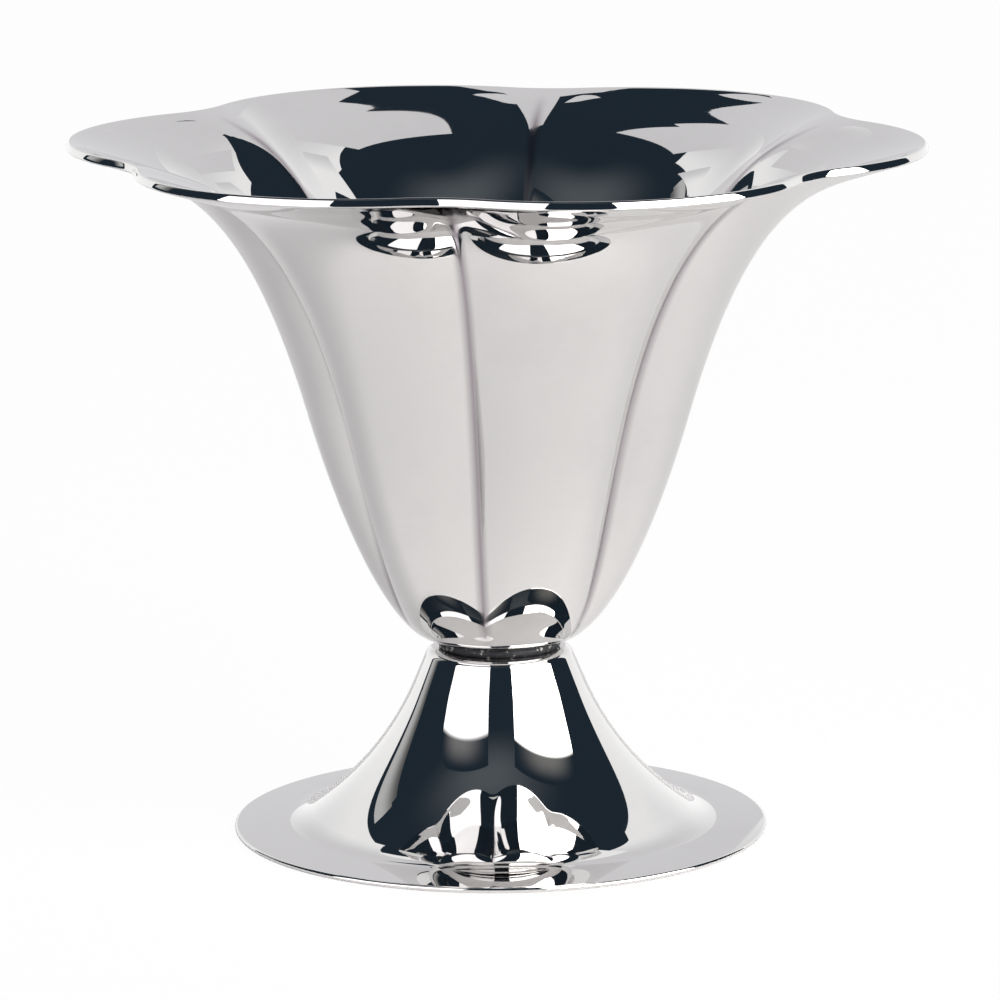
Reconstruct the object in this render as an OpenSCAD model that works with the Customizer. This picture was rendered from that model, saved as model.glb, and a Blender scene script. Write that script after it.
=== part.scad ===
// Footed sundae cup in polished sheet steel: a petalled bowl brazed onto a trumpet foot at a narrow neck.
// Millimetres, +Z up. The cup's axis is the Z axis, one petal points along +X and the foot rests on Z = 0.

/* [Overall] */
// Height of the cup, from the table to the top of the rim
cup_h = 93; // [88:0.5:100]
// Width over the rim, from one petal's tip to the tip opposite
rim_d = 114; // [110:0.5:120]
// Thickness of the sheet that the bowl and the foot are pressed from
sheet = 0.8; // [0.6:0.05:1]
// Diameter of the neck, where the bowl stands on the foot
neck_d = 16.6; // [15.6:0.1:17.6]

/* [Petals] */
// Number of petals around the bowl
petals = 6; // [5:1:8]
// Width over the petals' tips at the flank, the straight stretch halfway up the bowl
flank_tip_d = 50.9; // [49:0.1:54]
// Lean of the tips at the flank, in degrees out from upright
flank_tip_lean = 15.9; // [15:0.1:18]
// Diameter through the creases at the flank
flank_crease_d = 41.3; // [40:0.1:43]
// Lean of the creases at the flank, in degrees out from upright
flank_crease_lean = 15.7; // [14:0.1:17]
// Diameter through the points where neighbouring petals' arcs meet at the rim, before rounding
rim_crease_d = 99.4; // [96:0.2:103]
// Radius that rounds each crease on the flank
crease_r = 0.6; // [0.4:0.05:1]
// Radius that rounds each notch at the rim
notch_r = 17; // [10:0.5:20]

/* [Bowl profile] */
// Height of the flank, as a share of the bowl's height
flank_share = 0.46; // [0.44:0.005:0.48]
// Length of the straight pull below the flank, as a share of the bowl's height
low_pull = 0.2; // [0.18:0.005:0.23]
// Length of the straight pull above the flank, as a share of the bowl's height
high_pull = 0.51; // [0.48:0.005:0.52]
// Rise of the belly's first pull above the neck
belly_rise = 0.3; // [0.2:0.05:0.6]
// Width of the belly's first pull under a petal's tip
belly_tip_w = 6.7; // [6.2:0.1:7.2]
// Width of the belly's first pull under a crease
belly_crease_w = 7.6; // [7.2:0.1:8]
// Drop of the flare's last pull below the rim at a petal's tip
flare_tip_drop = 4.3; // [3.8:0.1:5]
// Width of the flare's last pull at a petal's tip
flare_tip_w = 12; // [11:0.1:14]
// Drop of the flare's last pull below the rim at a crease
flare_crease_drop = 0.5; // [0.4:0.05:1]
// Width of the flare's last pull at a crease
flare_crease_w = 4; // [3.5:0.1:5]
// Thickness that the sheet grows to at the squared edge of the rim
rim_sheet = 1.2; // [1:0.05:1.4]

/* [Foot] */
// Diameter of the foot's flange
foot_d = 71.5; // [70.5:0.5:76]
// Height of the foot's flat top, where the bowl is joined on
foot_h = 24.7; // [23.5:0.1:26]
// Radius of the shoulder around the flat top
shoulder_r = 1.5; // [1.2:0.1:2]
// Flat margin between the neck and the start of the shoulder
shoulder_margin = 0.2; // [0.1:0.05:0.4]
// Lean of the foot's straight upper wall, in degrees out from upright
wall_lean = 23; // [22:0.25:24]
// Radius of the hollow trumpet flare
flare_r = 41; // [40:0.5:42.5]
// Lean where the flare passes into the heel, in degrees out from upright
heel_lean = 54.5; // [53:0.5:56]
// Radius of the heel that turns the flare into the flange
heel_r = 7.8; // [7:0.1:8.6]
// Slope of the flange, in degrees down towards its edge
flange_slope = 4; // [3:0.25:5]
// Width of the flat ring under the edge that the cup stands on
land_w = 1.6; // [1.2:0.1:2]

/* [Seam] */
// Height of the brazed seam between the bowl and the foot
seam_h = 1.2; // [1:0.05:1.4]
// Width of the seam's ring, measured inwards
seam_w = 2.4; // [1.6:0.1:3.2]
// Depth of the seam's outer face inside the neck
seam_recess = 0.15; // [0.1:0.05:0.3]

/* [Hidden] */

// Facets: half a petal, one half of the bowl's profile, the rim's edge, an arc of the foot and a full turn
half_petal_steps = 7;
profile_steps = 12;
edge_steps = 6;
arc_steps = 12;
turn_steps = 128;
// How late the rim's wide notch rounding sets in above the flank
notch_growth = 4;

polished_steel = [0.80, 0.80, 0.82];
braze_metal = [0.62, 0.58, 0.50];

neck_r = neck_d / 2;
half_turn = 180 / petals;
bowl_z = foot_h + seam_h;

// The rim's squared edge, as steps beyond the end of the bowl's outer skin
rim_dir = unit([flare_tip_w, flare_tip_drop]);
rim_edge = [for (i = [1 : edge_steps - 1]) edge_point(180 * i / edge_steps - 90)];
edge_out = max([for (p = rim_edge) p.x]);
rim_z = cup_h - max([for (p = rim_edge) p.y]);
bowl_h = rim_z - bowl_z;

// Control points, [radius, height], of the two joined curves that a tip and a crease follow up the bowl
tip_curve = profile(flank_tip_d / 2, flank_tip_lean, belly_tip_w, [flare_tip_w, flare_tip_drop], rim_d / 2);
crease_curve =
    profile(flank_crease_d / 2, flank_crease_lean, belly_crease_w, [flare_crease_w, flare_crease_drop], rim_crease_d / 2);

// Normals of the foot's wall, of its heel where it starts and of its flange
out_wall = out_from(wall_lean);
out_heel = out_from(heel_lean);
out_flange = out_from(90 - flange_slope);

// Centres of the foot's arcs. The straight wall is as long as it takes for the heel to end on the flange's slope.
edge_r = sheet / 2;
edge_c = [foot_d / 2 - edge_r, edge_r];
shoulder_c = [neck_r + shoulder_margin, foot_h - shoulder_r];
wall_top = shoulder_c + shoulder_r * out_wall;
wall_dir = [sin(wall_lean), -cos(wall_lean)];
arcs = flare_r * (out_wall - out_heel) + heel_r * (out_heel - out_flange);
gap = wall_top + arcs - edge_c - edge_r * out_flange;
wall_end = wall_top - (gap * out_flange) / (wall_dir * out_flange) * wall_dir;
flare_c = wall_end + flare_r * out_wall;
heel_c = flare_c + (heel_r - flare_r) * out_heel;

function unit(v) = v / norm(v);
// Normal of a profile that runs outwards and up, turned towards the axis
function inward(dir) = [-dir.y, dir.x];
// Normal of a wall that leans out by a given angle from upright
function out_from(lean) = [cos(lean), sin(lean)];
function arc(c, r, from, to) =
    [for (i = [0 : arc_steps]) let (a = from + (to - from) * i / arc_steps) c + r * [cos(a), sin(a)]];

// A point on the rim's edge, from the outer skin at -90 degrees to the inner skin at 90, square with soft corners
function edge_point(a) =
    rim_sheet / 2 * (sqrt(cos(a)) * rim_dir + (1 + sign(a) * sqrt(abs(sin(a)))) * inward(rim_dir));

function profile(flank_r, lean, belly_w, flare, end_r) =
    let (
        climb = bowl_h * [tan(lean), 1],
        flank = [flank_r, bowl_z + flank_share * bowl_h],
        rim = [end_r - edge_out, rim_z]
    )
    [
        [neck_r, bowl_z],
        [neck_r + belly_w, bowl_z + belly_rise],
        flank - low_pull * climb,
        flank,
        flank + high_pull * climb,
        rim - flare,
        rim
    ];

// A point and a direction on a profile: u runs from 0 at the neck, through 1 at the flank, to 2 at the rim
function first_point(u) = u < 1 ? 0 : 3;
function on_curve(p, u) =
    let (k = first_point(u), t = u < 1 ? u : u - 1, s = 1 - t)
    s * s * s * p[k] + 3 * s * s * t * p[k + 1] + 3 * s * t * t * p[k + 2] + t * t * t * p[k + 3];
function curve_dir(p, u) =
    let (k = first_point(u), t = u < 1 ? u : u - 1, s = 1 - t)
    unit(s * s * (p[k + 1] - p[k]) + 2 * s * t * (p[k + 2] - p[k + 1]) + t * t * (p[k + 3] - p[k + 2]));

// Radius of the crease's curve at a height, found by halving
function crease_at(z, low = 0, high = 2, halvings = 40) =
    let (middle = (low + high) / 2)
    halvings == 0
        ? on_curve(crease_curve, low).x
        : on_curve(crease_curve, middle).y < z
            ? crease_at(z, middle, high, halvings - 1)
            : crease_at(z, low, middle, halvings - 1);

// Thickness of the bowl's sheet, which grows over the flare to the squared edge
function thickness(u) = sheet + (rim_sheet - sheet) * pow(max(0, 2 * u - 3), 3);

// Radius of the petalled outline at an angle from a petal's middle. Each petal is an arc through its tip
// and its two creases, and each crease is rounded by an arc that touches both petals.
function petal_radius(tip, crease, round_r, inset, angle) =
    let (
        half_w = crease * sin(half_turn),
        sag = tip - crease * cos(half_turn),
        petal_r = (half_w * half_w + sag * sag) / (2 * sag),
        petal_c = tip - petal_r,
        across = petal_c * sin(half_turn),
        groove_c = petal_c * cos(half_turn) + sqrt(pow(petal_r + round_r, 2) - across * across),
        touch = atan2(groove_c * sin(half_turn), groove_c * cos(half_turn) - petal_c),
        r = petal_r - inset,
        touch_angle = atan2(r * sin(touch), petal_c + r * cos(touch)),
        to_crease = half_turn - abs(angle)
    )
    abs(angle) < touch_angle
        ? petal_c * cos(angle) + sqrt(r * r - pow(petal_c * sin(angle), 2))
        : groove_c * cos(to_crease) - sqrt(max(0, pow(round_r + inset, 2) - pow(groove_c * sin(to_crease), 2)));

// One closed ring of points around the bowl, moved off its outer skin by shift = [radius, height]
function ring(u, shift) =
    let (
        tip = on_curve(tip_curve, u),
        crease = min(tip.x, crease_at(tip.y)),
        round_r = crease_r + (notch_r - crease_r) * pow(max(0, u - 1), notch_growth)
    )
    [for (k = [0 : petals - 1], i = [-half_petal_steps : half_petal_steps - 1])
        let (
            angle = half_turn * sin(90 * i / half_petal_steps),
            r = petal_radius(tip.x, crease, round_r, -shift.x, angle),
            turn = angle + 2 * half_turn * k
        )
        [r * cos(turn), r * sin(turn), tip.y + shift.y]];

// Rings up the outer skin, over the rim's edge and down the inner skin
function bowl_rings() = concat(
    [for (i = [0 : 2 * profile_steps]) ring(i / profile_steps, [0, 0])],
    [for (p = rim_edge) ring(2, p)],
    [for (i = [2 * profile_steps : -1 : 0])
        let (u = i / profile_steps)
        ring(u, thickness(u) * inward(curve_dir(tip_curve, u)))]
);

// Triangles between neighbouring rings, and a fan to a centre point at each end
function skin_faces(rings, n) = concat(
    [for (i = [0 : rings - 2], j = [0 : n - 1], half = [0, 1])
        let (a = i * n + j, b = i * n + (j + 1) % n)
        half == 0 ? [a, a + n, b + n] : [a, b + n, b]],
    [for (j = [0 : n - 1]) [rings * n, j, (j + 1) % n]],
    [for (j = [0 : n - 1]) let (base = (rings - 1) * n) [rings * n + 1, base + (j + 1) % n, base + j]]
);

// The foot's outer skin from the axis to the flange, or the skin a given depth under it
function foot_skin(depth) = concat(
    [[0, foot_h - depth]],
    arc(shoulder_c, shoulder_r - depth, 90, wall_lean),
    arc(flare_c, flare_r + depth, 180 + wall_lean, 180 + heel_lean),
    arc(heel_c, heel_r + depth, 180 + heel_lean, 270 - flange_slope)
);

function reversed(list) = [for (i = [len(list) - 1 : -1 : 0]) list[i]];

// Bowl: one pressed skin with a squared edge along the rim and a round, flat bottom
module bowl() {
    rings = bowl_rings();
    n = len(rings[0]);
    under = [0, 0, rings[0][0].z];
    inside = [0, 0, rings[len(rings) - 1][0].z];
    points = concat([for (r = rings) each r], [under, inside]);
    color(polished_steel)
        polyhedron(points, skin_faces(len(rings), n), convexity = 8);
}

// Foot: a hollow trumpet closed at the top, with a gently sloped flange that rests on a flat ring under its edge
module foot() {
    edge = arc(edge_c, edge_r, 90 - flange_slope, -90);
    land = [[edge_c.x - land_w, 0]];
    color(polished_steel)
        rotate_extrude($fn = turn_steps)
            polygon(concat(foot_skin(0), edge, land, reversed(foot_skin(sheet))));
}

// Braze: the ring of filler that joins the bowl's flat bottom to the foot's flat top
module braze_seam() {
    color(braze_metal)
        rotate_extrude($fn = turn_steps)
            translate([neck_r - seam_w, foot_h])
                square([seam_w - seam_recess, seam_h]);
}

bowl();
foot();
braze_seam();
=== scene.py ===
"""Footed sundae cup in polished sheet steel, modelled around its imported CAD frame.

A petalled bowl is brazed onto a trumpet foot. Everything is in metres, with the cup's axis on Z.
"""

import math

import bmesh
import bpy
from bpy.props import FloatProperty, FloatVectorProperty, IntProperty, PointerProperty
from mathutils import Matrix, Vector, noise


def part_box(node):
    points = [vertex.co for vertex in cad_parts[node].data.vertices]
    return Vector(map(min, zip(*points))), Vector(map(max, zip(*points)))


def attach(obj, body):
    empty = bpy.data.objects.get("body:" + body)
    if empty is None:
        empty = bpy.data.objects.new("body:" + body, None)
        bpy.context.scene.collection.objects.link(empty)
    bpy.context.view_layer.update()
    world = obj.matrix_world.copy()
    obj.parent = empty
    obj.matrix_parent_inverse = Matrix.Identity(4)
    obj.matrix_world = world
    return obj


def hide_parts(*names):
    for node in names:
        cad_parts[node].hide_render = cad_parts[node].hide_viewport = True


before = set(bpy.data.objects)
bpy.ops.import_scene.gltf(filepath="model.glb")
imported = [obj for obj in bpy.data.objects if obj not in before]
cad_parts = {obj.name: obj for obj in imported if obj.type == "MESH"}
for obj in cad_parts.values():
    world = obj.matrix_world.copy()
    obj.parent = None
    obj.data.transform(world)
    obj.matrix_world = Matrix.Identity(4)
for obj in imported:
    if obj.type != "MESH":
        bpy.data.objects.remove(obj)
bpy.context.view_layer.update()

bl_info = {
    "name": "Footed Sundae Cup",
    "version": (1, 0, 0),
    "blender": (4, 5, 0),
    "location": "View3D > Sidebar > Sundae Cup",
    "description": "Models a petalled sundae cup in polished steel and the studio that it stands in",
    "category": "Object",
}

FOOT_LOW, FOOT_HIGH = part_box("foot")
SEAM_LOW, SEAM_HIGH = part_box("braze_seam")

# Steps of the bowl's skin: half a petal, half of a profile, the rim's edge
HALF_PETAL_STEPS = 28
PROFILE_STEPS = 40
EDGE_STEPS = 16
# Steps of the turned pieces: a full turn and each arc
TURN_STEPS = 288
ARC_STEPS = 24
# How late the rim's wide notch rounding sets in above the flank
NOTCH_GROWTH = 4
# Halvings that find a crease's radius at a height
HALVINGS = 40
# The creases' painted shade and added roughness are full where a crease is this share of the tip's radius
# deep, and fade out below the rim
CREASE_SHADE_AND_DULL_DEPTH = 0.06
CREASE_FADE_START = 1.72
CREASE_FADE_END = 1.97
# Half width of a crease's painted dark line and rougher steel, in crease radii
CREASE_SHADE_AND_DULL_WIDTH = 1.7
# Bulge of the seam as a share of half its height, and how many lumps and grains it has per metre
SEAM_BULGE = 0.6
LUMPS = 1400
GRAINS = 4200
# Height of the grains as a share of the lumps' height
GRAIN_SHARE = 0.5
# Where on a profile the sheet starts to thicken towards the rim, and how late that sets in
THICKEN_START = 1.5
THICKEN_GROWTH = 3
# Edges that turn by more than this stay sharp
SHARP_ANGLE = math.radians(40)
WELD = 1e-7
MM = 0.001
# Steps of the stage's flat and curved cards, across and up
FLAT_CARD_STEPS = (4, 4)
DOME_CARD_STEPS = (48, 24)
# From the cup's axis to the floor's back edge, the backdrop, the lit cloth and the dark cloth, in metres
FLOOR_BACK = 1.8
BACKDROP_RADIUS = 2.0
OVER_RADIUS = 2.05
CLOTH_RADIUS = 2.1
# Elevation of the backdrop's lower edge in degrees, and height of the cards above the rim in mm
BACKDROP_LOW = -40
RIM_CARD_HEIGHT = 158.3
# Share of plain white in the floor as the metal sees it, and how much more of it the camera sees
FLOOR_WHITE = 0.1
FLOOR_WHITE_CAMERA = 0.86
# Brightness of the surround in diffuse light
SURROUND_STRENGTH = 0.9
# Width of the camera's sensor in mm
SENSOR_WIDTH = 36.0
# How fine the steel's wheel marks are across and along them, per metre
MARKS_SCALE = 3200
MARKS_DRIFT = 60
# How fine its haze, specks and ripple are, per metre
HAZE_SCALE = 45.0
SPECK_SCALE = 900.0
RIPPLE_SCALE = 70.0
# How far haze and wheel marks deepen the steel's colour, and how much marks and specks roughen it
HAZE_TINT = 0.7
MARKS_TINT = 0.2
MARKS_ROUGHNESS = 0.006
SPECK_ROUGHNESS = 0.02
# How fine the filler's lumps and grain are, per metre, how much flux and grain roughen it, and its relief
FILLER_LUMPS = 900.0
FILLER_GRAIN = 5200.0
FLUX_ROUGHNESS = 0.25
GRAIN_ROUGHNESS = 0.1
FILLER_RELIEF = 0.05 * MM


def length(name, description, default, low=0.0, high=1.0):
    """A length in metres that a user may change."""
    return FloatProperty(name=name, description=description, default=default, min=low, max=high, precision=5,
                         subtype="DISTANCE", unit="LENGTH")


def angle(name, description, degrees):
    """An angle that a user may change, given in degrees."""
    return FloatProperty(name=name, description=description, default=math.radians(degrees), precision=4,
                         subtype="ANGLE", unit="ROTATION")


def share(name, description, default, high=1.0):
    """A plain number that a user may change."""
    return FloatProperty(name=name, description=description, default=default, min=0.0, max=high, precision=4,
                         subtype="FACTOR")


def colour(name, description, default):
    """A colour in linear light that a user may change."""
    return FloatVectorProperty(name=name, description=description, default=default, min=0.0, max=1.0, size=3,
                               subtype="COLOR")


class CupSizes(bpy.types.PropertyGroup):
    """Sizes of the bowl, the foot and the seam between them."""

    cup_height: length("Cup Height", "From the table to the top of the rim", 93 * MM)
    rim_width: length("Rim Width", "Over the rim, from one petal's tip to the tip opposite", 114 * MM)
    sheet: length("Sheet", "Thickness of the pressed sheet", 0.8 * MM)
    neck_width: length("Neck Width", "Diameter where the bowl stands on the foot", 16.6 * MM)
    petals: IntProperty(name="Petals", description="Number of petals around the bowl", default=6,
                        min=5, max=8)

    flank_tip_width: length("Flank Tip Width", "Over the petals' tips halfway up the bowl", 50.9 * MM)
    flank_tip_lean: angle("Flank Tip Lean", "Lean of the tips at the flank, out from upright", 15.9)
    flank_crease_width: length("Flank Crease Width", "Diameter through the creases halfway up the bowl",
                               41.3 * MM)
    flank_crease_lean: angle("Flank Crease Lean", "Lean of the creases at the flank, out from upright", 15.7)
    rim_crease_width: length("Rim Crease Width", "Diameter through the rim's notches before rounding",
                             99.4 * MM)
    crease_radius: length("Crease Radius", "Rounding of each crease on the flank", 0.6 * MM)
    notch_radius: length("Notch Radius", "Rounding of each notch at the rim", 17 * MM)

    flank_share: share("Flank Share", "Height of the flank as a share of the bowl's height", 0.46)
    low_pull_share: share("Low Pull Share", "Straight pull below the flank as a share of the bowl's height",
                          0.2)
    high_pull_share: share("High Pull Share", "Straight pull above the flank as a share of the bowl's height",
                           0.51)
    belly_rise: length("Belly Rise", "Rise of the belly's first pull above the neck", 0.3 * MM)
    belly_tip_width: length("Belly Tip Width", "Width of the belly's first pull under a tip", 6.7 * MM)
    belly_crease_width: length("Belly Crease Width", "Width of the belly's first pull under a crease",
                               7.6 * MM)
    flare_tip_drop: length("Flare Tip Drop", "Drop of the flare's last pull at a tip", 4.3 * MM)
    flare_tip_width: length("Flare Tip Width", "Width of the flare's last pull at a tip", 12 * MM)
    flare_crease_drop: length("Flare Crease Drop", "Drop of the flare's last pull at a crease", 0.5 * MM)
    flare_crease_width: length("Flare Crease Width", "Width of the flare's last pull at a crease", 4 * MM)
    rim_sheet: length("Rim Sheet", "Thickness that the sheet grows to at the rim's squared edge", 1.2 * MM)

    foot_width: length("Foot Width", "Diameter of the foot's flange", FOOT_HIGH.x - FOOT_LOW.x)
    foot_height: length("Foot Height", "Height of the foot's flat top", FOOT_HIGH.z)
    shoulder_radius: length("Shoulder Radius", "Rounding of the shoulder around the flat top", 1.5 * MM)
    shoulder_margin: length("Shoulder Margin", "Flat margin between the neck and the shoulder", 0.2 * MM)
    wall_lean: angle("Wall Lean", "Lean of the foot's upper wall, out from upright", 23)
    flare_radius: length("Flare Radius", "Radius of the hollow trumpet flare", 41 * MM)
    heel_lean: angle("Heel Lean", "Lean where the flare passes into the heel", 54.5)
    heel_radius: length("Heel Radius", "Radius of the heel that turns into the flange", 7.8 * MM)
    flange_slope: angle("Flange Slope", "Slope of the flange, down towards its edge", 4)
    land: length("Land", "Width of the flat ring under the edge that the cup stands on", 1.6 * MM)

    seam_height: length("Seam Height", "Height of the brazed seam", SEAM_HIGH.z - SEAM_LOW.z)
    seam_width: length("Seam Width", "Diameter of the seam's ring", SEAM_HIGH.x - SEAM_LOW.x)
    seam_hole: length("Seam Hole", "Diameter of the hole in the seam's ring", 11.8 * MM)
    seam_lump: length("Seam Lump", "Height of the lumps left in the cooled filler", 0.09 * MM)


class CupFinishes(bpy.types.PropertyGroup):
    """Colours and polish of the cup's metals."""

    steel_light: colour("Steel Light", "Polished steel where it is cleanest", (0.735, 0.728, 0.722))
    steel_deep: colour("Steel Deep", "Polished steel under a faint haze", (0.69, 0.682, 0.68))
    # Painted shade: the dark line along the creases is painted in this colour
    crease_shade: colour("Crease Shade", "Steel in the creases that the polishing wheel doesn't reach",
                         (0.36, 0.325, 0.35))
    steel_roughness: share("Steel Roughness", "Roughness of the mirror polish", 0.014)
    haze_roughness: share("Haze Roughness", "Roughness added by faint smudges", 0.014)
    crease_roughness: share("Crease Roughness", "Roughness added in the creases", 0.16)
    ripple: length("Ripple", "Height of the shallow ripple that pressing leaves in the sheet", 0.004 * MM)
    braze_light: colour("Braze Light", "Filler metal on its bright lumps", (0.42, 0.40, 0.39))
    braze_dark: colour("Braze Dark", "Filler metal where flux has darkened it", (0.045, 0.046, 0.05))
    braze_roughness: share("Braze Roughness", "Roughness of the filler metal", 0.28)


class StudioSettings(bpy.types.PropertyGroup):
    """The camera's place and the light around the cup."""

    camera_distance: length("Camera Distance", "From the cup's axis, measured on the floor", 0.8, high=10.0)
    camera_height: length("Camera Height", "Above the floor", 0.20759, high=10.0)
    camera_azimuth: angle("Camera Azimuth", "Turn round the cup from the front, to the right", 7.87)
    camera_pitch: angle("Camera Pitch", "Tilt of the camera below level", 11.518)
    camera_yaw: angle("Camera Yaw", "Turn of the camera away from the cup's axis", 0.0163)
    camera_roll: angle("Camera Roll", "Roll of the camera about its view", -0.446)
    camera_lens: FloatProperty(name="Camera Lens", description="Focal length on a sensor 36 mm wide",
                               default=220.6, unit="CAMERA")
    floor_tone: colour("Floor Tone", "Pale floor", (0.90, 0.886, 0.885))
    floor_front: length("Floor Front", "From the cup's axis to the front edge of the floor", 0.145)
    floor_side: length("Floor Side", "From the cup's axis to the side edges of the floor", 0.19)
    flag_tone: colour("Flag Tone", "Dark cloth around and over the cup", (0.0165, 0.0270, 0.0400))
    lamp_tone: colour("Lamp Tone", "Light of the strip and the backdrop's edges", (1.0, 1.0, 1.0))
    left_tone: colour("Left Tone", "Light of the left soft box", (1.0, 0.985, 1.0))
    right_tone: colour("Right Tone", "Light of the right soft box", (1.0, 0.99, 0.965))
    backdrop_tone: colour("Backdrop Tone", "Light of the backdrop", (0.985, 0.975, 1.0))
    over_tone: colour("Over Tone", "Cloth over the front, which the boxes light from below", (0.78, 0.9, 1.0))
    left_strength: share("Left Strength", "Brightness of the left soft box", 2.1, high=20.0)
    right_strength: share("Right Strength", "Brightness of the right soft box", 5.7, high=20.0)
    halo_strength: share("Halo Strength", "Brightness of the cloth right above a soft box", 0.22, high=20.0)
    over_strength: share("Over Strength", "Brightness of the cloth over the front, at its middle", 0.12,
                         high=20.0)
    strip_strength: share("Strip Strength", "Brightness of the narrow strip at the left", 0.56, high=20.0)
    back_edge_strength: share("Back Edge Strength", "Brightness of the backdrop's outer edges", 1.05,
                              high=20.0)
    back_strength: share("Back Strength", "Brightness of the backdrop behind the cup", 0.77, high=20.0)
    back_low_strength: share("Back Low Strength", "Brightness of the backdrop near the floor", 1.12,
                             high=20.0)


class Shade:
    """One socket of a node tree. Python's operators on it add Math nodes."""

    def __init__(self, nodes, socket):
        self.nodes = nodes
        self.socket = socket

    def out(self, key):
        """Another output of the same node."""
        return Shade(self.nodes, pick(self.socket.node.outputs, key))

    def calc(self, operation, *operands):
        return self.nodes.add("ShaderNodeMath", {"operation": operation}, dict(enumerate(operands)))

    def __add__(self, other):
        return self.calc("ADD", self, other)

    def __radd__(self, other):
        return self.calc("ADD", other, self)

    def __sub__(self, other):
        return self.calc("SUBTRACT", self, other)

    def __rsub__(self, other):
        return self.calc("SUBTRACT", other, self)

    def __mul__(self, other):
        return self.calc("MULTIPLY", self, other)

    def __rmul__(self, other):
        return self.calc("MULTIPLY", other, self)

    def __pow__(self, other):
        return self.calc("POWER", self, other)

    def step(self, low, high):
        """0 below low, 1 above high and smooth between them."""
        return self.nodes.add("ShaderNodeMapRange", {"interpolation_type": "SMOOTHSTEP"},
                              {"Value": self, "From Min": low, "From Max": high})


def pick(sockets, key):
    """A socket by its index, its identifier or its name."""
    if isinstance(key, int):
        return sockets[key]
    for field in ("identifier", "name"):
        for socket in sockets:
            if getattr(socket, field) == key:
                return socket
    raise KeyError(key)


class Nodes:
    """The node tree of one material or of the world."""

    def __init__(self, owner):
        owner.use_nodes = True
        self.tree = owner.node_tree
        self.tree.nodes.clear()

    def add(self, kind, settings=None, sockets=None, out=0):
        """Adds a node, sets it up, fills or links its sockets and returns one of its outputs."""
        node = self.tree.nodes.new(kind)
        for name, value in (settings or {}).items():
            setattr(node, name, value)
        for key, value in (sockets or {}).items():
            socket = pick(node.inputs, key)
            if isinstance(value, Shade):
                self.tree.links.new(value.socket, socket)
            else:
                socket.default_value = value
        return Shade(self, pick(node.outputs, out)) if node.outputs else None

    def noise(self, vector, scale, detail=2.0, roughness=0.5):
        return self.add("ShaderNodeTexNoise", None,
                        {"Vector": vector, "Scale": scale, "Detail": detail, "Roughness": roughness})

    def mix_colour(self, factor, first, second):
        return self.add("ShaderNodeMix", {"data_type": "RGBA"},
                        {"Factor_Float": factor, "A_Color": first, "B_Color": second}, "Result_Color")


def opaque(rgb):
    return (*rgb, 1.0)


def polished_steel(finish):
    """Mirror polish with a faint haze and wheel marks around the axis; along the creases, painted shade and
    rougher steel.
    """
    material = bpy.data.materials.new("mirror_steel")
    nodes = Nodes(material)
    place = nodes.add("ShaderNodeTexCoord").out("Object")
    xyz = nodes.add("ShaderNodeSeparateXYZ", None, {"Vector": place})
    x, y, z = xyz.out("X"), xyz.out("Y"), xyz.out("Z")
    radius = (x * x + y * y) ** 0.5
    rings = nodes.add("ShaderNodeCombineXYZ", None,
                      {"X": radius * MARKS_SCALE, "Y": z * MARKS_SCALE, "Z": (x + y) * MARKS_DRIFT})
    wheel_marks = nodes.noise(rings, 1.0, 2.0).step(0.35, 0.75)
    haze = nodes.noise(place, HAZE_SCALE, 4.0, 0.6).step(0.48, 0.72)
    specks = nodes.noise(place, SPECK_SCALE, 1.0).step(0.70, 0.78)
    crease = nodes.add("ShaderNodeAttribute", {"attribute_name": "crease"}, None, "Fac")
    dulled = haze * HAZE_TINT + wheel_marks * MARKS_TINT
    clean = nodes.mix_colour(dulled, opaque(finish.steel_light), opaque(finish.steel_deep))
    # Painted shade: along the creases the steel is darkened towards the crease shade colour, and it is also
    # made rougher
    base = nodes.mix_colour(crease, clean, opaque(finish.crease_shade))
    rough = (finish.steel_roughness + haze * finish.haze_roughness + wheel_marks * MARKS_ROUGHNESS
             + specks * SPECK_ROUGHNESS + crease * finish.crease_roughness)
    ripple = nodes.noise(place, RIPPLE_SCALE, 1.0)
    bump = nodes.add("ShaderNodeBump", None, {"Strength": 1.0, "Distance": finish.ripple, "Height": ripple})
    steel = nodes.add("ShaderNodeBsdfPrincipled", None,
                      {"Base Color": base, "Metallic": 1.0, "Roughness": rough, "Normal": bump})
    nodes.add("ShaderNodeOutputMaterial", None, {"Surface": steel})
    return material


def braze_metal(finish):
    """Cooled filler metal: grey lumps with dark flux between them and small bright specks."""
    material = bpy.data.materials.new("braze_metal")
    nodes = Nodes(material)
    place = nodes.add("ShaderNodeTexCoord").out("Object")
    lumps = nodes.noise(place, FILLER_LUMPS, 3.0, 0.6)
    bright = lumps.step(0.55, 0.66)
    grain = nodes.noise(place, FILLER_GRAIN, 2.0)
    base = nodes.mix_colour(bright, opaque(finish.braze_dark), opaque(finish.braze_light))
    rough = finish.braze_roughness + (1 - bright) * FLUX_ROUGHNESS + grain * GRAIN_ROUGHNESS
    bump = nodes.add("ShaderNodeBump", None,
                     {"Strength": 0.8, "Distance": FILLER_RELIEF, "Height": lumps + grain * 0.2})
    filler = nodes.add("ShaderNodeBsdfPrincipled", None,
                       {"Base Color": base, "Metallic": 1.0, "Roughness": rough, "Normal": bump})
    nodes.add("ShaderNodeOutputMaterial", None, {"Surface": filler})
    return material


def finish_named(name, maker, finish):
    """The material of that name, made when the first piece asks for it."""
    return bpy.data.materials.get(name) or maker(finish)


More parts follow.
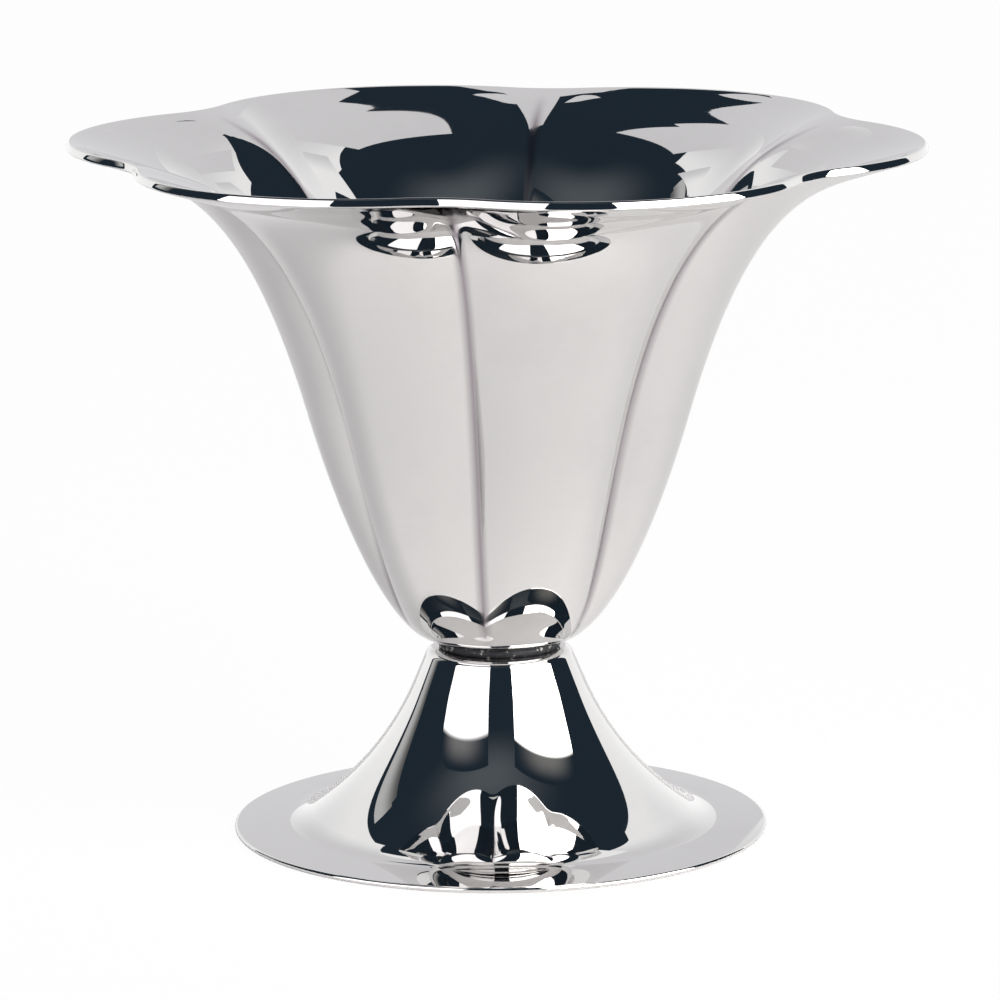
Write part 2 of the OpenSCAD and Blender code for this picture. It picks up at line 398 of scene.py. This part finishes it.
class Pen:
    """Draws a profile in the XZ plane, vertex by vertex, to be turned about the axis."""

    def __init__(self, mesh, radius, height):
        self.mesh = mesh
        self.tip = mesh.verts.new((radius, 0.0, height))

    def line(self, radius, height):
        drawn = bmesh.ops.extrude_vert_indiv(self.mesh, verts=[self.tip])
        self.tip = drawn["verts"][0]
        self.tip.co = (radius, 0.0, height)
        return self.tip

    def arc(self, radius, height, turn, steps=ARC_STEPS):
        """An arc about a centre, anticlockwise in the plane of radius and height where turn is above 0."""
        drawn = bmesh.ops.spin(self.mesh, geom=[self.tip], cent=(radius, 0.0, height), axis=(0.0, -1.0, 0.0),
                               dvec=(0.0, 0.0, 0.0), angle=turn, steps=steps)
        self.tip = next(part for part in drawn["geom_last"] if isinstance(part, bmesh.types.BMVert))
        return self.tip


def turn_about_axis(mesh, steps):
    """Turns the drawn profile into a closed skin whose faces point outwards."""
    bmesh.ops.spin(mesh, geom=mesh.verts[:] + mesh.edges[:], cent=(0.0, 0.0, 0.0), axis=(0.0, 0.0, 1.0),
                   dvec=(0.0, 0.0, 0.0), angle=math.tau, steps=steps, use_merge=True)
    bmesh.ops.remove_doubles(mesh, verts=mesh.verts[:], dist=WELD)
    bmesh.ops.recalc_face_normals(mesh, faces=mesh.faces[:])


def add_object(name, mesh, material):
    """Puts a finished bmesh into the scene as a smooth-shaded object at the origin."""
    data = bpy.data.meshes.new(name)
    mesh.to_mesh(data)
    mesh.free()
    data.shade_smooth()
    data.set_sharp_from_angle(angle=SHARP_ANGLE)
    data.materials.append(material)
    piece = bpy.data.objects.new(name, data)
    bpy.context.scene.collection.objects.link(piece)
    return piece


def stand_for(piece, node):
    """The piece rides on the cup's one body and stands for a CAD node, which is hidden."""
    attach(piece, "root")
    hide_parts(node)


class BowlShape:
    """The bowl's skin worked out from its sizes: heights and radii along u, 0 at the neck to 2 at the rim."""

    def __init__(self, sizes):
        self.half_turn = math.pi / sizes.petals
        self.crease_radius = sizes.crease_radius
        self.notch_radius = sizes.notch_radius
        self.sheet = sizes.sheet
        self.rim_sheet = sizes.rim_sheet
        self.neck_radius = sizes.neck_width / 2
        self.bottom = sizes.foot_height + sizes.seam_height
        self.rim_dir = Vector((sizes.flare_tip_width, sizes.flare_tip_drop)).normalized()
        self.edge = [self.edge_point(math.pi * (i / EDGE_STEPS - 0.5)) for i in range(1, EDGE_STEPS)]
        self.edge_out = max(point.x for point in self.edge)
        self.rim_height = sizes.cup_height - max(point.y for point in self.edge)
        self.tip_curve = self.profile(sizes, sizes.flank_tip_width, sizes.flank_tip_lean,
                                      sizes.belly_tip_width,
                                      (sizes.flare_tip_width, sizes.flare_tip_drop), sizes.rim_width)
        self.crease_curve = self.profile(sizes, sizes.flank_crease_width, sizes.flank_crease_lean,
                                         sizes.belly_crease_width,
                                         (sizes.flare_crease_width, sizes.flare_crease_drop),
                                         sizes.rim_crease_width)

    @staticmethod
    def inward(direction):
        """Normal of a profile that runs outwards and up, turned towards the axis."""
        return Vector((-direction.y, direction.x))

    def edge_point(self, turn):
        """A point on the rim's squared edge, from the end of the outer skin to the end of the inner skin."""
        half = self.rim_sheet / 2
        across = math.copysign(math.sqrt(abs(math.sin(turn))), turn)
        return half * (math.sqrt(math.cos(turn)) * self.rim_dir + (1 + across) * self.inward(self.rim_dir))

    def profile(self, sizes, flank_width, lean, belly_width, flare, end_width):
        """Control points of the two joined curves that a tip or a crease follows up the bowl."""
        bowl_height = self.rim_height - self.bottom
        climb = bowl_height * Vector((math.tan(lean), 1.0))
        flank = Vector((flank_width / 2, self.bottom + sizes.flank_share * bowl_height))
        rim = Vector((end_width / 2 - self.edge_out, self.rim_height))
        neck = Vector((self.neck_radius, self.bottom))
        return [neck, neck + Vector((belly_width, sizes.belly_rise)), flank - sizes.low_pull_share * climb,
                flank, flank + sizes.high_pull_share * climb, rim - Vector(flare), rim]

    def thickness(self, u):
        """The sheet's thickness, which grows over the flare to the squared edge."""
        growth = max(0.0, (u - THICKEN_START) / (2 - THICKEN_START)) ** THICKEN_GROWTH
        return self.sheet + (self.rim_sheet - self.sheet) * growth

    def crease_at(self, height):
        """The crease's radius at a height, found by halving."""
        low, high = 0.0, 2.0
        for _ in range(HALVINGS):
            middle = (low + high) / 2
            if self.on_curve(self.crease_curve, middle)[0].y < height:
                low = middle
            else:
                high = middle
        return self.on_curve(self.crease_curve, low)[0].x

    @staticmethod
    def on_curve(points, u):
        """A point on a profile and the direction in which the profile leaves it."""
        first = 0 if u < 1 else 3
        t = u - (0 if u < 1 else 1)
        s = 1 - t
        a, b, c, d = points[first:first + 4]
        point = s ** 3 * a + 3 * s * s * t * b + 3 * s * t * t * c + t ** 3 * d
        return point, (s * s * (b - a) + 2 * s * t * (c - b) + t * t * (d - c)).normalized()

    def petal_ring(self, u):
        """The outline's arcs at u: petal radius and centre, groove centre and radius, touch, and how strong
        the creases' painted shade and roughness are.

        Each petal is an arc through its tip and its two creases, and each crease is rounded by an arc that
        touches both petals. The rounding widens towards the rim.
        """
        half = self.half_turn
        tip, height = self.on_curve(self.tip_curve, u)[0]
        crease = min(tip, self.crease_at(height))
        growth = max(0.0, u - 1) ** NOTCH_GROWTH
        rounding = self.crease_radius + (self.notch_radius - self.crease_radius) * growth
        half_width = crease * math.sin(half)
        sag = tip - crease * math.cos(half)
        petal = (half_width ** 2 + sag ** 2) / (2 * sag)
        centre = tip - petal
        groove = centre * math.cos(half) + math.sqrt((petal + rounding) ** 2 - (centre * math.sin(half)) ** 2)
        touch = math.atan2(groove * math.sin(half), groove * math.cos(half) - centre)
        # Strength of the creases' painted shade and roughness: deeper creases get more, and it fades out
        # towards the rim
        fade = (CREASE_FADE_END - u) / (CREASE_FADE_END - CREASE_FADE_START)
        shade_and_dullness = min(1.0, (tip - crease) / (CREASE_SHADE_AND_DULL_DEPTH * tip)) * min(1.0, max(0.0, fade))
        return petal, centre, groove, rounding, touch, shade_and_dullness

    def petal_radius(self, ring, inset, turn):
        """Radius of a ring's outline at an angle from a petal's middle, and how strong the painted crease
        shade and roughness are there.
        """
        petal, centre, groove, rounding, touch, shade_and_dullness = ring
        arc = petal - inset
        touch_turn = math.atan2(arc * math.sin(touch), centre + arc * math.cos(touch))
        to_crease = self.half_turn - abs(turn)
        if abs(turn) < touch_turn:
            radius = centre * math.cos(turn) + math.sqrt(arc ** 2 - (centre * math.sin(turn)) ** 2)
        else:
            radius = groove * math.cos(to_crease) - math.sqrt(
                max(0.0, (rounding + inset) ** 2 - (groove * math.sin(to_crease)) ** 2))
        return radius, shade_and_dullness * max(0.0, 1 - to_crease * radius / (CREASE_SHADE_AND_DULL_WIDTH * self.crease_radius))


class CUP_OT_make_bowl(bpy.types.Operator):
    """Model the bowl: one pressed skin with six petals, a flared wavy rim and a flat bottom."""

    bl_idname = "cup.make_bowl"
    bl_label = "Make Bowl"

    def execute(self, context):
        sizes = context.scene.cup_sizes
        shape = BowlShape(sizes)
        mesh = bmesh.new()
        along = mesh.verts.layers.float.new("along")
        inset = mesh.verts.layers.float.new("inset")
        # The crease layer holds where the creases' painted shade and added roughness go
        crease = mesh.verts.layers.float.new("crease")
        pen = Pen(mesh, 0.0, shape.bottom)

        def skin_point(u, shift):
            tip = shape.on_curve(shape.tip_curve, u)[0]
            vertex = pen.line(tip.x + shift.x, tip.y + shift.y)
            vertex[along], vertex[inset] = u, -shift.x

        rises = [i / PROFILE_STEPS for i in range(2 * PROFILE_STEPS + 1)]
        for u in rises:
            skin_point(u, Vector((0.0, 0.0)))
        for point in shape.edge:
            skin_point(2.0, point)
        for u in reversed(rises):
            skin_point(u, shape.thickness(u) * shape.inward(shape.on_curve(shape.tip_curve, u)[1]))
        pen.line(0.0, pen.tip.co.z)

        turn_about_axis(mesh, 2 * sizes.petals * HALF_PETAL_STEPS)
        self.press_petals(mesh, shape, along, inset, crease)
        steel = finish_named("mirror_steel", polished_steel, context.scene.cup_finishes)
        bowl = add_object("bowl_skin", mesh, steel)
        stand_for(bowl, "bowl")
        return {"FINISHED"}

    @staticmethod
    def press_petals(mesh, shape, along, inset, crease):
        """Moves the turned skin onto the petals, with its steps drawn close together at the creases."""
        petal_turn = 2 * shape.half_turn
        rings = {u: shape.petal_ring(u) for u in {vertex[along] for vertex in mesh.verts}}
        for vertex in mesh.verts:
            if vertex.co.xy.length < WELD:
                continue
            around = math.atan2(vertex.co.y, vertex.co.x)
            petal = round(around / petal_turn) * petal_turn
            even = (around - petal) / shape.half_turn
            turn = shape.half_turn * math.sin(math.pi / 2 * even)
            # Each vertex gets its strength of painted crease shade and roughness
            radius, vertex[crease] = shape.petal_radius(rings[vertex[along]], vertex[inset], turn)
            vertex.co.x = radius * math.cos(petal + turn)
            vertex.co.y = radius * math.sin(petal + turn)
        bmesh.ops.recalc_face_normals(mesh, faces=mesh.faces[:])


class CUP_OT_make_foot(bpy.types.Operator):
    """Model the foot: a hollow trumpet with a closed flat top, a heel and a sloped flange on a flat land."""

    bl_idname = "cup.make_foot"
    bl_label = "Make Foot"

    def execute(self, context):
        sizes = context.scene.cup_sizes
        upright = math.pi / 2
        wall, heel, flange = sizes.wall_lean, sizes.heel_lean, upright - sizes.flange_slope
        out_wall, out_heel, out_flange = (Vector((math.cos(lean), math.sin(lean)))
                                          for lean in (wall, heel, flange))
        shoulder_centre = Vector((sizes.neck_width / 2 + sizes.shoulder_margin,
                                  sizes.foot_height - sizes.shoulder_radius))
        wall_top = shoulder_centre + sizes.shoulder_radius * out_wall
        edge_radius = sizes.sheet / 2
        edge_centre = Vector((sizes.foot_width / 2 - edge_radius, edge_radius))
        # The straight wall is as long as it takes for the heel to end on the flange's slope
        arcs = sizes.flare_radius * (out_wall - out_heel) + sizes.heel_radius * (out_heel - out_flange)
        gap = wall_top + arcs - edge_centre - edge_radius * out_flange
        wall_dir = Vector((math.sin(wall), -math.cos(wall)))
        wall_end = wall_top - gap.dot(out_flange) / wall_dir.dot(out_flange) * wall_dir
        flare_centre = wall_end + sizes.flare_radius * out_wall
        heel_centre = flare_centre + (sizes.heel_radius - sizes.flare_radius) * out_heel

        mesh = bmesh.new()
        pen = Pen(mesh, 0.0, sizes.foot_height)
        pen.line(shoulder_centre.x, sizes.foot_height)
        pen.arc(*shoulder_centre, wall - upright)
        pen.line(*wall_end)
        pen.arc(*flare_centre, heel - wall)
        pen.arc(*heel_centre, flange - heel)
        pen.line(*(edge_centre + edge_radius * out_flange))
        pen.arc(*edge_centre, -flange - upright)
        pen.line(edge_centre.x - sizes.land, 0.0)
        pen.line(*(heel_centre - (sizes.heel_radius + sizes.sheet) * out_flange))
        pen.arc(*heel_centre, heel - flange)
        pen.arc(*flare_centre, wall - heel)
        pen.line(*(wall_top - sizes.sheet * out_wall))
        pen.arc(*shoulder_centre, upright - wall)
        pen.line(0.0, sizes.foot_height - sizes.sheet)

        turn_about_axis(mesh, TURN_STEPS)
        steel = finish_named("mirror_steel", polished_steel, context.scene.cup_finishes)
        foot = add_object("foot_skin", mesh, steel)
        stand_for(foot, "foot")
        return {"FINISHED"}


class CUP_OT_make_seam(bpy.types.Operator):
    """Model the brazed seam: a ring of filler metal, rounded and lumpy where it shows at the neck."""

    bl_idname = "cup.make_seam"
    bl_label = "Make Seam"

    def execute(self, context):
        sizes = context.scene.cup_sizes
        low, high = sizes.foot_height, sizes.foot_height + sizes.seam_height
        half = sizes.seam_height / 2
        bulge = SEAM_BULGE * half
        outer = sizes.seam_width / 2 - bulge
        inner = sizes.seam_hole / 2
        mesh = bmesh.new()
        pen = Pen(mesh, inner, low)
        pen.line(outer, low)
        for i in range(1, ARC_STEPS):
            turn = math.pi * i / ARC_STEPS
            pen.line(outer + bulge * math.sin(turn), low + half - half * math.cos(turn))
        pen.line(outer, high)
        pen.line(inner, high)
        pen.line(inner, low)
        turn_about_axis(mesh, TURN_STEPS)
        for vertex in mesh.verts:
            flat = Vector((vertex.co.x, vertex.co.y, 0.0))
            if flat.length > outer + WELD:
                lump = noise.noise(vertex.co * LUMPS) + GRAIN_SHARE * noise.noise(vertex.co * GRAINS)
                vertex.co += flat.normalized() * sizes.seam_lump * lump
        filler = finish_named("braze_metal", braze_metal, context.scene.cup_finishes)
        seam = add_object("braze_ring", mesh, filler)
        stand_for(seam, "braze_seam")
        return {"FINISHED"}


def seen_by_metal(nodes):
    """Two masks: the camera's rays, and those together with the rays that a piece reflects or passes on."""
    path = nodes.add("ShaderNodeLightPath")
    rays = path.out("Is Camera Ray") + path.out("Is Glossy Ray") + path.out("Is Transmission Ray")
    return path.out("Is Camera Ray"), rays.calc("MINIMUM", rays, 1.0)


def floor_material(studio):
    """Pale floor that reads as white to the camera and keeps a soft trace of the cup's shadow."""
    material = bpy.data.materials.new("pale_floor")
    nodes = Nodes(material)
    camera, seen = seen_by_metal(nodes)
    matte = nodes.add("ShaderNodeBsdfDiffuse", None, {"Color": opaque(studio.floor_tone)})
    white = nodes.add("ShaderNodeEmission", None, {"Color": (1.0, 1.0, 1.0, 1.0), "Strength": 1.0})
    whiteness = seen * FLOOR_WHITE + camera * FLOOR_WHITE_CAMERA
    lit = nodes.add("ShaderNodeMixShader", None, {0: whiteness, 1: matte, 2: white})
    nodes.add("ShaderNodeOutputMaterial", None, {"Surface": lit})
    return material


def glow(name, tone, strength, *fades):
    """A card's light. Each fade changes it along one of the card's own attributes into another light."""
    material = bpy.data.materials.new(name)
    nodes = Nodes(material)
    lamp = nodes.add("ShaderNodeEmission", None, {"Color": opaque(tone), "Strength": strength})
    for along, low, high, other_tone, other_strength in fades:
        place = nodes.add("ShaderNodeAttribute", {"attribute_name": along}, None, "Fac")
        other = nodes.add("ShaderNodeEmission", None,
                          {"Color": opaque(other_tone), "Strength": other_strength})
        lamp = nodes.add("ShaderNodeMixShader", None, {0: place.step(low, high), 1: lamp, 2: other})
    nodes.add("ShaderNodeOutputMaterial", None, {"Surface": lamp})
    return material


def aim(azimuth, elevation, radius):
    """A point on a dome round the cup. Azimuth 0 is towards the front, and grows to the right, in degrees."""
    a, e = math.radians(azimuth), math.radians(elevation)
    return Vector((math.sin(a) * math.cos(e), -math.cos(a) * math.cos(e), math.sin(e))) * radius


def stage_card(name, turn, steps, place, material):
    """A card of the stage, hidden from the camera. Its points come from how far across and up it they are."""
    mesh = bmesh.new()
    across = mesh.verts.layers.float.new("across")
    up = mesh.verts.layers.float.new("up")
    bmesh.ops.create_grid(mesh, x_segments=steps[0], y_segments=steps[1], size=1.0)
    for vertex in mesh.verts:
        vertex[across], vertex[up] = (vertex.co.x + 1) / 2, (vertex.co.y + 1) / 2
        vertex.co = place(vertex[across], vertex[up])
    bmesh.ops.remove_doubles(mesh, verts=mesh.verts[:], dist=WELD)
    bmesh.ops.rotate(mesh, verts=mesh.verts[:], cent=(0.0, 0.0, 0.0), matrix=Matrix.Rotation(turn, 3, "Z"))
    card = add_object(name, mesh, material)
    card.visible_camera = False
    return card


def along_edge(points, share_along):
    """The value at a share of the way along an edge that runs through evenly spaced points."""
    if len(points) == 1:
        return points[0]
    place = share_along * (len(points) - 1)
    first = min(int(place), len(points) - 2)
    return points[first] + (place - first) * (points[first + 1] - points[first])


def dome_card(name, turn, radius, azimuths, low, tops, material):
    """A curved card on a dome round the cup. Its top edge runs through evenly spaced elevations."""
    def place(across, up):
        elevation = low + up * (along_edge(tops, across) - low)
        return aim(along_edge(azimuths, across), elevation, radius)
    return stage_card(name, turn, DOME_CARD_STEPS, place, material)


def flat_card(name, turn, distance, facing, azimuths, slopes, material):
    """A flat upright card square to an azimuth. Its ends are azimuths and slopes as seen from the cup."""
    sides = [math.tan(math.radians(azimuth - facing)) for azimuth in azimuths]
    ahead, aside = aim(facing, 0, distance), aim(facing + 90, 0, distance)

    def place(across, up):
        height = distance * along_edge(slopes, up)
        return ahead + aside * along_edge(sides, across) + Vector((0.0, 0.0, height))
    return stage_card(name, turn, FLAT_CARD_STEPS, place, material)


def level_card(name, turn, height, sides, fronts, back, material):
    """A level card above the cup, in mm. Its front edge runs from one distance behind the axis to another."""
    def place(across, up):
        depth = along_edge((along_edge(fronts, across), back), up)
        return Vector((along_edge(sides, across), depth, height)) * MM
    return stage_card(name, turn, FLAT_CARD_STEPS, place, material)


class CUP_OT_set_stage(bpy.types.Operator):
    """Set the stage: floor, white surround, dark cloth, soft boxes, a strip, a backdrop and the camera."""

    bl_idname = "cup.set_stage"
    bl_label = "Set Stage"

    def execute(self, context):
        scene = context.scene
        studio = scene.cup_studio
        scene.view_settings.view_transform = "Standard"
        self.place_camera(scene, studio)
        self.light_world(scene)
        turn = studio.camera_azimuth
        self.lay_floor(studio, turn)
        self.hang_cloth(studio, turn)
        self.set_lamps(studio, turn)
        self.hang_backdrop(studio, turn)
        return {"FINISHED"}

    @staticmethod
    def lay_floor(studio, turn):
        """The floor under the cup, the one card that the camera sees."""
        def place(across, up):
            aside = along_edge((-studio.floor_side, studio.floor_side), across)
            return Vector((aside, along_edge((-studio.floor_front, FLOOR_BACK), up), 0.0))
        floor = stage_card("floor", turn, FLAT_CARD_STEPS, place, floor_material(studio))
        floor.visible_camera = True

    @staticmethod
    def sides_out(studio):
        """Fades that darken a card from its middle to both sides."""
        return ("across", 0.45, 0.0, studio.flag_tone, 1.0), ("across", 0.55, 1.0, studio.flag_tone, 1.0)

    def hang_cloth(self, studio, turn):
        """Dark cloth in front and above, and the part of it that the boxes light from below."""
        dark = studio.flag_tone
        cloth = glow("dark_cloth", dark, 1.0)
        dome_card("cloth_front", turn, CLOTH_RADIUS, (-131, 128), -60, (90,), cloth)
        dome_card("cloth_top", turn, CLOTH_RADIUS, (128, 229), 30, (90,), cloth)
        ends_out = ("up", 0.45, 0.0, dark, 1.0), ("up", 0.5, 1.0, dark, 1.0)
        over = glow("over_light", studio.over_tone, studio.over_strength, *ends_out, *self.sides_out(studio))
        dome_card("cloth_over", turn, OVER_RADIUS, (-115, 85), 42, (82,), over)

    def set_lamps(self, studio, turn):
        """Two soft boxes, the faint light on the cloth right above each of them, and a narrow strip."""
        for side, facing, azimuths, top, tone, strength in (
                ("left", -27, (-75, -16), 1.05, studio.left_tone, studio.left_strength),
                ("right", 42, (19, 89), 1.18, studio.right_tone, studio.right_strength)):
            faint = (tone, studio.halo_strength)
            box = glow(side + "_box_light", tone, strength, ("up", 0.955, 1.0, *faint))
            halo = glow(side + "_halo_light", *faint, ("up", 0.0, 0.9, studio.flag_tone, 1.0),
                        *self.sides_out(studio))
            flat_card("soft_box_" + side, turn, 1.0, facing, azimuths, (-1.0, top), box)
            flat_card("halo_" + side, turn, 1.01, facing, azimuths, (top - 0.01, top + 0.5), halo)
        strip = glow("strip_light", studio.lamp_tone, studio.strip_strength,
                     ("across", 0.2, 1.0, studio.lamp_tone, 0.2 * studio.strip_strength))
        flat_card("strip_left", turn, 1.5, -119, (-125.5, -112), (0.17, 1.15), strip)

    @staticmethod
    def hang_backdrop(studio, turn):
        """The backdrop in three parts with bowed upper edges, and three level cards above the rim."""
        tone = studio.backdrop_tone
        edge = (studio.lamp_tone, studio.back_edge_strength)
        low_light = ("up", 0.78, 0.45, studio.lamp_tone, studio.back_low_strength)
        for side, azimuths, tops, fades in (
                ("right", (126, 173.5), (48.1, 51.3, 54.6, 55.6, 50.8),
                 [("across", 0.9, 0.1, *edge), low_light]),
                ("middle", (173.5, 189), (42, 43.8, 44.9, 39.9, 35), []),
                ("left", (189, 231), (47.1, 47.6, 49.8, 52.2, 53.8),
                 [("across", 0.1, 0.9, *edge), low_light])):
            light = glow(f"back_{side}_light", tone, studio.back_strength, *fades)
            dome_card("back_" + side, turn, BACKDROP_RADIUS, azimuths, BACKDROP_LOW, tops, light)
        for side, sides, fronts, back, fades in (
                ("left", (-75, -34.5), (98.3, 64.2), 115, [("across", 1.0, 0.5, *edge)]),
                ("middle", (-10.7, 11.1), (68.3, 69.9), 138.4, []),
                ("right", (24.9, 75), (88.7, 49.9), 125.4, [("across", 0.0, 0.5, *edge)])):
            light = glow("rim_light_" + side, tone, studio.back_strength, *fades)
            level_card("rim_card_" + side, turn, RIM_CARD_HEIGHT, sides, fronts, back, light)

    @staticmethod
    def place_camera(scene, studio):
        """Stands the camera where the photograph was taken from."""
        pitch, yaw, roll = studio.camera_pitch, studio.camera_yaw, studio.camera_roll
        data = bpy.data.cameras.new("camera")
        data.sensor_width = SENSOR_WIDTH
        data.lens = studio.camera_lens
        camera = bpy.data.objects.new("camera", data)
        scene.collection.objects.link(camera)
        right = Vector((math.cos(yaw), -math.sin(yaw), 0.0))
        ahead = Vector((math.sin(yaw) * math.cos(pitch), math.cos(yaw) * math.cos(pitch), -math.sin(pitch)))
        up = right.cross(ahead)
        across = math.cos(roll) * right + math.sin(roll) * up
        upward = math.cos(roll) * up - math.sin(roll) * right
        turned = Matrix((across, upward, -ahead)).transposed().to_4x4()
        turned.translation = Vector((0.0, -studio.camera_distance, studio.camera_height))
        camera.matrix_world = Matrix.Rotation(studio.camera_azimuth, 4, "Z") @ turned
        scene.camera = camera

    @staticmethod
    def light_world(scene):
        """White surround, a little dimmer for diffuse light."""
        world = bpy.data.worlds.new("white_surround")
        scene.world = world
        nodes = Nodes(world)
        _, seen = seen_by_metal(nodes)
        plain = nodes.add("ShaderNodeBackground", None,
                          {"Color": (1.0, 1.0, 1.0, 1.0), "Strength": SURROUND_STRENGTH})
        white = nodes.add("ShaderNodeBackground", None, {"Color": (1.0, 1.0, 1.0, 1.0), "Strength": 1.0})
        sky = nodes.add("ShaderNodeMixShader", None, {0: seen, 1: plain, 2: white})
        nodes.add("ShaderNodeOutputWorld", None, {"Surface": sky})


class CUP_PT_panel(bpy.types.Panel):
    """Sizes, finishes and studio of the cup, and the buttons that model it."""

    bl_idname = "CUP_PT_panel"
    bl_label = "Sundae Cup"
    bl_space_type = "VIEW_3D"
    bl_region_type = "UI"
    bl_category = "Sundae Cup"

    def draw(self, context):
        column = self.layout.column()
        for operator in OPERATORS:
            column.operator(operator.bl_idname)
        for group in (context.scene.cup_sizes, context.scene.cup_finishes, context.scene.cup_studio):
            box = self.layout.box()
            for name in group.__annotations__:
                box.prop(group, name)


OPERATORS = (CUP_OT_make_bowl, CUP_OT_make_foot, CUP_OT_make_seam, CUP_OT_set_stage)
GROUPS = {"cup_sizes": CupSizes, "cup_finishes": CupFinishes, "cup_studio": StudioSettings}
CLASSES = (*GROUPS.values(), *OPERATORS, CUP_PT_panel)


def register():
    for cls in CLASSES:
        bpy.utils.register_class(cls)
    for name, group in GROUPS.items():
        setattr(bpy.types.Scene, name, PointerProperty(type=group))


def unregister():
    for name in GROUPS:
        delattr(bpy.types.Scene, name)
    for cls in reversed(CLASSES):
        bpy.utils.unregister_class(cls)


def main():
    register()
    bpy.ops.cup.set_stage()
    bpy.ops.cup.make_bowl()
    bpy.ops.cup.make_foot()
    bpy.ops.cup.make_seam()


if __name__ == "__main__":
    main()
